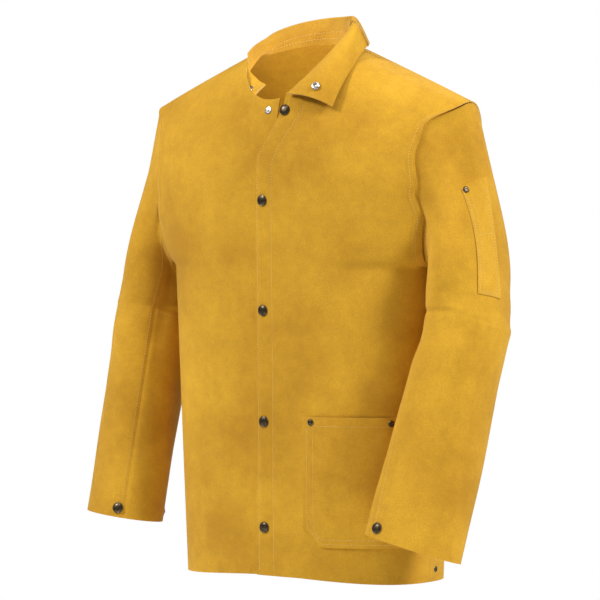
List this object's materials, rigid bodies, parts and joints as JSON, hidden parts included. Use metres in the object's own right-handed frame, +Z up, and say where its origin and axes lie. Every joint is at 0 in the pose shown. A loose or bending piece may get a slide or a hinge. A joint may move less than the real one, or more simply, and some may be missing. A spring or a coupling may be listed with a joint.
{
  "type": "leather welding jacket",
  "caption": "Hip-length split-leather welding jacket with turn-down collar, snap front, two-piece sleeves, hip pocket and pen pocket.",
  "frame": {"origin": "centre plane of the jacket, level with and between the two neck points where the shoulder seams meet the collar", "axes": "+Z up, the front faces -Y, the wearer's left is +X"},
  "size_m": [0.6551, 0.2762, 0.7723],
  "materials": {
    "hide": "golden split cowhide, suede nap, matt",
    "hide_sleeve": "golden split cowhide, suede nap, matt",
    "hide_pocket": "golden split cowhide patch, topstitched",
    "hide_inner": "split cowhide, rougher inner side",
    "bronze_snap": "antique bronze, dark, satin",
    "nickel_snap": "nickel plated, bright"
  },
  "bodies": {
    "torso": {"back_panel": "hide", "right_front_panel": "hide", "left_front_panel": "hide", "right_placket_facing": "hide_inner", "hip_pocket": "hide_pocket", "hip_pocket_rivet_front": "bronze_snap", "hip_pocket_rivet_side": "bronze_snap", "left_hem_rivet": "bronze_snap", "right_hem_rivet": "bronze_snap", "collar_outer": "hide", "collar_inner": "hide_inner", "collar_left_stand": "hide_inner", "collar_snap_stud": "nickel_snap", "collar_snap_post": "nickel_snap", "front_snap_1_stud": "nickel_snap", "front_snap_1_post": "nickel_snap", "front_snap_2_stud": "nickel_snap", "front_snap_2_post": "nickel_snap", "front_snap_3_stud": "nickel_snap", "front_snap_3_post": "nickel_snap", "front_snap_4_stud": "nickel_snap", "front_snap_4_post": "nickel_snap", "front_snap_5_stud": "nickel_snap", "front_snap_5_post": "nickel_snap"},
    "front_flap": {"left_front_placket": "hide", "left_placket_facing": "hide_inner", "front_snap_1_cap": "bronze_snap", "front_snap_1_socket": "nickel_snap", "front_snap_2_cap": "bronze_snap", "front_snap_2_socket": "nickel_snap", "front_snap_3_cap": "bronze_snap", "front_snap_3_socket": "nickel_snap", "front_snap_4_cap": "bronze_snap", "front_snap_4_socket": "nickel_snap", "front_snap_5_cap": "bronze_snap", "front_snap_5_socket": "nickel_snap"},
    "collar_left_end": {"collar_left_end_inner": "hide", "collar_left_end_outer": "hide", "collar_snap_cap": "bronze_snap", "collar_snap_socket": "nickel_snap"},
    "left_upper_sleeve": {"left_top_sleeve_upper": "hide_sleeve", "left_under_sleeve_upper": "hide_sleeve", "pen_pocket": "hide_pocket", "pen_pocket_rivet": "bronze_snap"},
    "left_forearm": {"left_top_sleeve_lower": "hide_sleeve", "left_under_sleeve_lower": "hide_sleeve", "left_cuff_snap_cap": "bronze_snap", "left_cuff_snap_socket": "nickel_snap", "left_cuff_snap_stud": "nickel_snap", "left_cuff_snap_post": "nickel_snap"},
    "right_upper_sleeve": {"right_top_sleeve_upper": "hide_sleeve", "right_under_sleeve_upper": "hide_sleeve"},
    "right_forearm": {"right_top_sleeve_lower": "hide_sleeve", "right_under_sleeve_lower": "hide_sleeve", "right_cuff_snap_cap": "bronze_snap", "right_cuff_snap_socket": "nickel_snap", "right_cuff_snap_stud": "nickel_snap", "right_cuff_snap_post": "nickel_snap"}
  },
  "joints": [
    {"name": "left_shoulder", "type": "hinge", "parent": "torso", "child": "left_upper_sleeve", "pos_m": [0.2335, 0, -0.1845], "axis": [-0.9799, 0, 0.1995], "range_deg": [0, 50]},
    {"name": "left_elbow", "type": "hinge", "parent": "left_upper_sleeve", "child": "left_forearm", "pos_m": [0.267, -0.024, -0.374], "axis": [-1, 0, 0], "range_deg": [0, 34]},
    {"name": "right_shoulder", "type": "hinge", "parent": "torso", "child": "right_upper_sleeve", "pos_m": [-0.2335, 0, -0.1845], "axis": [-0.9799, 0, -0.1995], "range_deg": [0, 50]},
    {"name": "right_elbow", "type": "hinge", "parent": "right_upper_sleeve", "child": "right_forearm", "pos_m": [-0.27, -0.006, -0.37], "axis": [-1, 0, 0], "range_deg": [0, 34]},
    {"name": "front_opening", "type": "hinge", "parent": "torso", "child": "front_flap", "pos_m": [0.05862, -0.11928, -0.438], "axis": [0.0092, -0.0138, 0.9999], "range_deg": [0, 12]},
    {"name": "collar_end_fold", "type": "hinge", "parent": "torso", "child": "collar_left_end", "pos_m": [0.06381, -0.05572, -0.00913], "axis": [-0.3036, -0.7494, -0.5884], "range_deg": [0, 70]}
  ]
}
